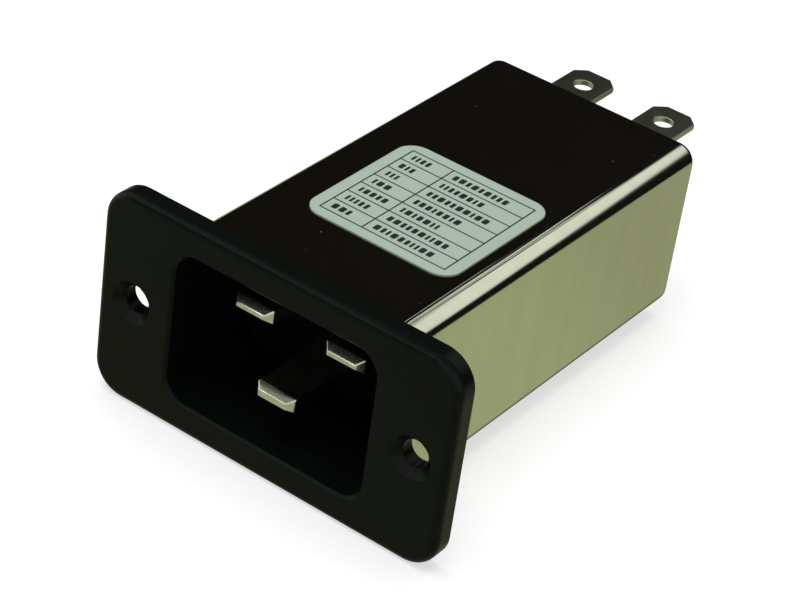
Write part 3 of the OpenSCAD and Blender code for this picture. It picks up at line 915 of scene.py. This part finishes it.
@dataclass
class LoadEnd(Assembly):
    """Terminal plate in the can's closed end, with three stamped tabs, the rivet and the lug."""

    nodes: tuple[str, ...] = ("terminal_plate", "earth_rivet", "earth_lug")
    tab_t: float = 0.8
    roll: float = 0.13
    chamfer: float = 1.4
    hole_r: float = 1.3
    hole_back: float = 3.9
    plate_front: float = 57.8
    tail_w: float = 2.5
    rivet_hole_r: float = 1.25
    bend_gap: float = 0.3

    def build(self) -> list[tuple[bpy.types.Object, Slot]]:
        """Makes the three tabs.

        Returns:
            Each tab and its slot.
        """
        return [(self.build_tab(node), Slot.TAB) for node in ("load_line_tab", "load_neutral_tab", "load_earth_tab")]

    def build_tab(self, node: str) -> bpy.types.Object:
        """Makes one tab: with a narrow tail, or for earth with a broad riveted foot.

        Args:
            node: CAD node that the tab stands for.

        Returns:
            The tab.
        """
        low, high = (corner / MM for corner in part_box(node))
        half, middle = (high.x - low.x) / 2, self.bend_gap + self.tab_t / 2
        z = high.z - self.tab_t / 2
        run = high.y - low.y - middle - self.tab_t / 2
        bent = run + middle * math.pi / 2
        end = bent + z - middle - low.z
        right = [(half - self.chamfer, 0.0), (half, self.chamfer)]
        holes = [(0.0, self.hole_back, self.hole_r)]
        if node == "load_earth_tab":
            right.append((half, end))
            rivet_z = sum(corner.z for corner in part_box("earth_rivet")) / 2 / MM
            holes.append((0.0, bent + z - middle - rivet_z, self.rivet_hole_r))
        else:
            shoulder = high.y - self.plate_front
            right += [(half, shoulder), (self.tail_w / 2, shoulder), (self.tail_w / 2, end)]
        tab = Strip(
            outline=right + [(-x, y) for x, y in reversed(right)],
            holes=holes,
            thickness=self.tab_t,
            roll=self.roll,
            run=run,
            bend=middle,
            tip=((low.x + high.x) / 2, high.y, z),
            heading=Heading.FORWARD,
        ).build(f"stamped_{node}")
        return claim(tab, node)


@dataclass
class FilterBoard(Assembly):
    """Circuit board inside the can, with what is soldered to it."""

    nodes: tuple[str, ...] = (
        "circuit_board",
        "x_capacitor",
        "bleed_resistor",
        "choke_core",
        "choke_divider",
        "line_winding",
        "neutral_winding",
        "line_y_capacitor",
        "neutral_y_capacitor",
        "solder_joints",
    )


# ---- studio --------------------------------------------------------------------


@dataclass
class Viewpoint:
    """Where the camera stands, in metres, and how it is held."""

    stand: tuple[float, float, float] = (0.137965, -0.198862, 0.172516)
    azimuth_deg: float = 31.928
    elevation_deg: float = 33.687
    roll_deg: float = 8.554
    lens_mm: float = 119.45
    sensor_mm: float = 36.0

    def build(self) -> None:
        """Makes the camera and gives it to the scene."""
        lens = bpy.data.cameras.new("camera")
        lens.lens = self.lens_mm
        lens.sensor_width = self.sensor_mm
        camera = bpy.data.objects.new("camera", lens)
        bpy.context.scene.collection.objects.link(camera)
        turn, tilt = math.radians(self.azimuth_deg), math.radians(self.elevation_deg)
        back = Vector((math.sin(turn) * math.cos(tilt), -math.cos(turn) * math.cos(tilt), math.sin(tilt)))
        level = Vector((math.cos(turn), math.sin(turn), 0.0))
        right = Matrix.Rotation(math.radians(self.roll_deg), 3, back) @ level
        up = back.cross(right)
        camera.matrix_world = Matrix.Translation(self.stand) @ Matrix((right, up, back)).transposed().to_4x4()
        bpy.context.scene.camera = camera


@dataclass
class Studio:
    """A white table in soft light; dark cloth, mat and flags round it show only in bright surfaces.

    Lengths in metres.
    """

    table_z: float
    sheet_lift: float = 0.0002
    room: float = 0.9
    cloth_from: float = 0.1
    cloth_to: float = 0.9
    cloth_back: float = 0.03
    floor_reach: float = 3.0
    floor_tone: Colour = (0.50, 0.50, 0.50)
    floor_glow: float = 0.62
    mat_tone: Colour = (0.42, 0.435, 0.277)
    cloth_tone: Colour = (0.0083, 0.0066, 0.0058)
    mat_side: float = 0.25
    mat_span: tuple[float, float] = (-0.20, 0.135)
    # painted light and painted shade in the mat's glow
    mat_slant: tuple[float, float] = (0.010, 0.050)
    mat_light: tuple[float, float] = (1.04, 0.87)
    shade_side: tuple[float, float] = (0.0150, 0.0170)
    shade_front: tuple[float, float] = (-0.004, 0.0)
    shade_tone: float = 0.25
    flag_span: tuple[float, float] = (-0.60, -0.13)
    flag_y: float = -0.50
    flag_h: float = 0.36
    strip_middle: tuple[float, float, float] = (-0.32, -0.445, 0.55)
    strip_size: tuple[float, float] = (0.50, 0.04)
    strip_way: tuple[float, float] = (0.81, -0.58)
    strip_glow: float = 5.0
    lid_tone: Colour = (0.27, 0.31, 0.24)
    lid_z: float = 0.80
    lid_reach: float = 0.52
    box_middle: tuple[float, float, float] = (0.118, 0.241, 0.205)
    box_size: tuple[float, float] = (0.305, 0.205)
    box_turn_deg: float = 9.8
    box_fade: float = 0.035
    box_glow: float = 0.97
    overhead_place: tuple[float, float, float] = (-0.15, -0.05, 0.90)
    overhead_side: float = 0.80
    overhead_glow: float = 3.4
    sky: float = 0.34

    def build(self) -> None:
        """Makes the floor, the dark pieces, the lamps and the world."""
        self.lay_floor()
        self.surround()
        self.hang_softbox()
        self.hang_overhead()
        self.light_world()

    def lay_floor(self) -> None:
        """Makes the floor, which looks white and still takes the part's shadow."""
        reach = self.floor_reach
        material, graph = start_material("floor")
        matt = graph.add("ShaderNodeBsdfDiffuse", {"Color": self.floor_tone}).outputs[0]
        glow = graph.math("MULTIPLY", self.seen_directly(graph), self.floor_glow)
        shine = graph.add("ShaderNodeEmission", {"Strength": glow}).outputs[0]
        self.show_one_side(graph, graph.add("ShaderNodeAddShader", {0: matt, 1: shine}).outputs[0])
        self.sheet("floor", self.flat(reach, (-reach, reach), 0.0), material)

    def surround(self) -> None:
        """Makes what only bright surfaces see: mat, skirt, cloth, flag, lid and a strip light."""
        dark, lid = self.plain("dark_cloth", self.cloth_tone), self.plain("lid", self.lid_tone)
        left, right = self.flag_span
        rim = [(left, 0.0), (right, 0.0), (right, self.flag_h), (left, self.flag_h)]
        flag = [(x, self.flag_y, self.table_z + z) for x, z in rim]
        reach = self.lid_reach
        x, y, z = self.strip_middle
        long, high = self.strip_size[0] / 2, self.strip_size[1] / 2
        run, rise = (share * long for share in self.strip_way)
        ends = [(x - run, y - rise), (x + run, y + rise)]
        strip = [(*ends[0], z - high), (*ends[1], z - high), (*ends[1], z + high), (*ends[0], z + high)]
        pieces = (
            self.sheet("strip_light", strip, self.plain("strip_light", (1.0, 1.0, 1.0), self.strip_glow)),
            # the mat glows with painted light and painted shade, and is seen only in reflections
            self.sheet("mat", self.flat(self.mat_side, self.mat_span, self.sheet_lift), self.glowing_mat_with_painted_shade()),
            self.sheet("cloth_skirt", self.flat(self.room, (self.mat_span[1], self.room), self.sheet_lift), dark),
            self.sheet("front_flag", flag, dark),
            self.sheet("lid", self.flat(reach, (-reach, reach), self.lid_z), lid),
            self.hang_cloth(dark),
        )
        for piece in pieces:
            piece.visible_camera = piece.visible_diffuse = piece.visible_shadow = False

    def plain(self, name: str, tone: Colour, glow: float = 1.0) -> bpy.types.Material:
        """Makes the material of an evenly lit sheet.

        Args:
            name: The material's name.
            tone: What it shows.
            glow: How strongly it shows it.

        Returns:
            The material.
        """
        material, graph = start_material(name)
        shine = graph.add("ShaderNodeEmission", {"Color": tone, "Strength": glow}).outputs[0]
        graph.add("ShaderNodeOutputMaterial", {"Surface": shine})
        return material

    def glowing_mat_with_painted_shade(self) -> bpy.types.Material:
        """Makes the mat's material: a glowing sheet with painted light that fades towards the back, and painted shade
        where the part stands on it.

        Returns:
            The material.
        """
        material, graph = start_material("mat")
        place = graph.add("ShaderNodeSeparateXYZ", {0: graph.place()}).outputs
        aside = graph.math("ABSOLUTE", place[0])
        slant = graph.math("SUBTRACT", place[1], aside)
        # painted light: the mat's glow fades from the front towards the back
        light = graph.spread(slant, *self.mat_slant, *self.mat_light)
        # painted shade: the glow drops under the part, within its width and behind its front
        beside = graph.spread(aside, *self.shade_side)
        shade = graph.math("MAXIMUM", beside, graph.spread(place[1], *self.shade_front, 1.0, self.shade_tone))
        glow = graph.math("MULTIPLY", light, shade)
        tone = graph.add("ShaderNodeEmission", {"Color": self.mat_tone, "Strength": glow}).outputs[0]
        graph.add("ShaderNodeOutputMaterial", {"Surface": tone})
        return material

    def hang_cloth(self, dark: bpy.types.Material) -> bpy.types.Object:
        """Makes the dark cloth, which curves round the back of the table.

        Args:
            dark: Its material.

        Returns:
            The cloth.
        """
        mesh = bmesh.new()
        bmesh.ops.create_uvsphere(mesh, u_segments=64, v_segments=32, radius=self.room)
        near, top = self.room * self.cloth_from, self.room * self.cloth_to
        outside = [v for v in mesh.verts if v.co.z < -1e-6 or v.co.y < near or v.co.z > top]
        bmesh.ops.delete(mesh, geom=outside, context="VERTS")
        cloth = link_mesh("dark_cloth", mesh)
        cloth.location = (0.0, self.cloth_back, self.table_z + self.sheet_lift)
        cloth.data.materials.append(dark)
        cloth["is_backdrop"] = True
        return cloth

    def hang_softbox(self) -> None:
        """Hangs the softbox behind the part: a lit sheet that fades at its edges."""
        material, graph = start_material("softbox")
        place = graph.add("ShaderNodeSeparateXYZ", {0: graph.place()}).outputs
        glow = self.box_glow
        for axis, length in enumerate(self.box_size):
            inside = graph.math("SUBTRACT", length / 2, graph.math("ABSOLUTE", place[axis]))
            glow = graph.math("MULTIPLY", graph.spread(inside, 0.0, self.box_fade), glow)
        self.show_one_side(graph, graph.add("ShaderNodeEmission", {"Strength": glow}).outputs[0])
        wide, high = (length / 2 for length in self.box_size)
        rim = [(-wide, -high, 0.0), (wide, -high, 0.0), (wide, high, 0.0), (-wide, high, 0.0)]
        box = self.sheet("softbox", rim, material)
        turn = Matrix.Rotation(math.radians(self.box_turn_deg), 4, "Z") @ Matrix.Rotation(math.pi / 2, 4, "X")
        box.matrix_world = Matrix.Translation(self.box_middle) @ turn
        box.visible_camera = box.visible_shadow = False

    def hang_overhead(self) -> None:
        """Hangs the wide lamp above the part, which no bright surface shows."""
        side = self.overhead_side
        lamp = bpy.data.lights.new("overhead", "AREA")
        lamp.shape = "SQUARE"
        lamp.size = side
        lamp.energy = self.overhead_glow * math.pi * side * side
        piece = bpy.data.objects.new("overhead", lamp)
        piece.location = self.overhead_place
        piece.visible_glossy = False
        bpy.context.scene.collection.objects.link(piece)

    def light_world(self) -> None:
        """Makes the world: white behind everything, and a weaker even light on the part."""
        world = bpy.data.worlds.new("studio")
        world.use_nodes = True
        graph = Graph(world.node_tree)
        strength = graph.spread(self.seen_directly(graph), 0.0, 1.0, self.sky, 1.0)
        sky = graph.add("ShaderNodeBackground", {"Color": (1.0, 1.0, 1.0), "Strength": strength})
        graph.add("ShaderNodeOutputWorld", {"Surface": sky.outputs[0]})
        bpy.context.scene.world = world

    def seen_directly(self, graph: Graph) -> bpy.types.NodeSocket:
        """Tells what the eye sees, straight on or in metal or glass, from what lights the part.

        Args:
            graph: The graph that asks.

        Returns:
            1 where it is seen, 0 where it lights.
        """
        path = graph.add("ShaderNodeLightPath").outputs
        seen = graph.math("MAXIMUM", path["Is Camera Ray"], path["Is Glossy Ray"])
        return graph.math("MAXIMUM", seen, path["Is Transmission Ray"])

    def show_one_side(self, graph: Graph, shader: bpy.types.NodeSocket) -> None:
        """Ends a material that can't be seen from behind.

        Args:
            graph: The material's graph.
            shader: What its front shows.
        """
        clear = graph.add("ShaderNodeBsdfTransparent").outputs[0]
        behind = graph.add("ShaderNodeNewGeometry").outputs["Backfacing"]
        surface = graph.add("ShaderNodeMixShader", {0: behind, 1: shader, 2: clear}).outputs[0]
        graph.add("ShaderNodeOutputMaterial", {"Surface": surface})

    def flat(self, side: float, span: tuple[float, float], lift: float) -> list[tuple[float, float, float]]:
        """Gives the corners of a level sheet.

        Args:
            side: Half its width.
            span: Where it starts and ends along Y.
            lift: Its height above the table.

        Returns:
            The corners.
        """
        z = self.table_z + lift
        return [(-side, span[0], z), (side, span[0], z), (side, span[1], z), (-side, span[1], z)]

    def sheet(
        self, name: str, rim: list[tuple[float, float, float]], material: bpy.types.Material
    ) -> bpy.types.Object:
        """Makes a flat sheet that isn't part of the object.

        Args:
            name: The sheet's name.
            rim: Its corners.
            material: Its material.

        Returns:
            The sheet.
        """
        mesh = bmesh.new()
        mesh.faces.new([mesh.verts.new(corner) for corner in rim])
        sheet = link_mesh(name, mesh)
        sheet.data.materials.append(material)
        sheet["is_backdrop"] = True
        return sheet


def main() -> None:
    """Builds the sub-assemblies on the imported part, then the studio, and reports each piece."""
    logging.basicConfig(level=logging.INFO, format="%(name)s: %(message)s")
    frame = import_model()
    cad_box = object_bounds()
    Viewpoint().build()
    shelf = Shelf(Effects.make(), frame["record"])
    for assembly in (InletEnd(), CanAndLabel(), LoadEnd(), FilterBoard()):
        made = assembly.build()
        assembly.dress(shelf, made)
    Studio(table_z=cad_box[0].z).build()
    bpy.context.scene.view_settings.view_transform = "Standard"


if __name__ == "__main__":
    main()
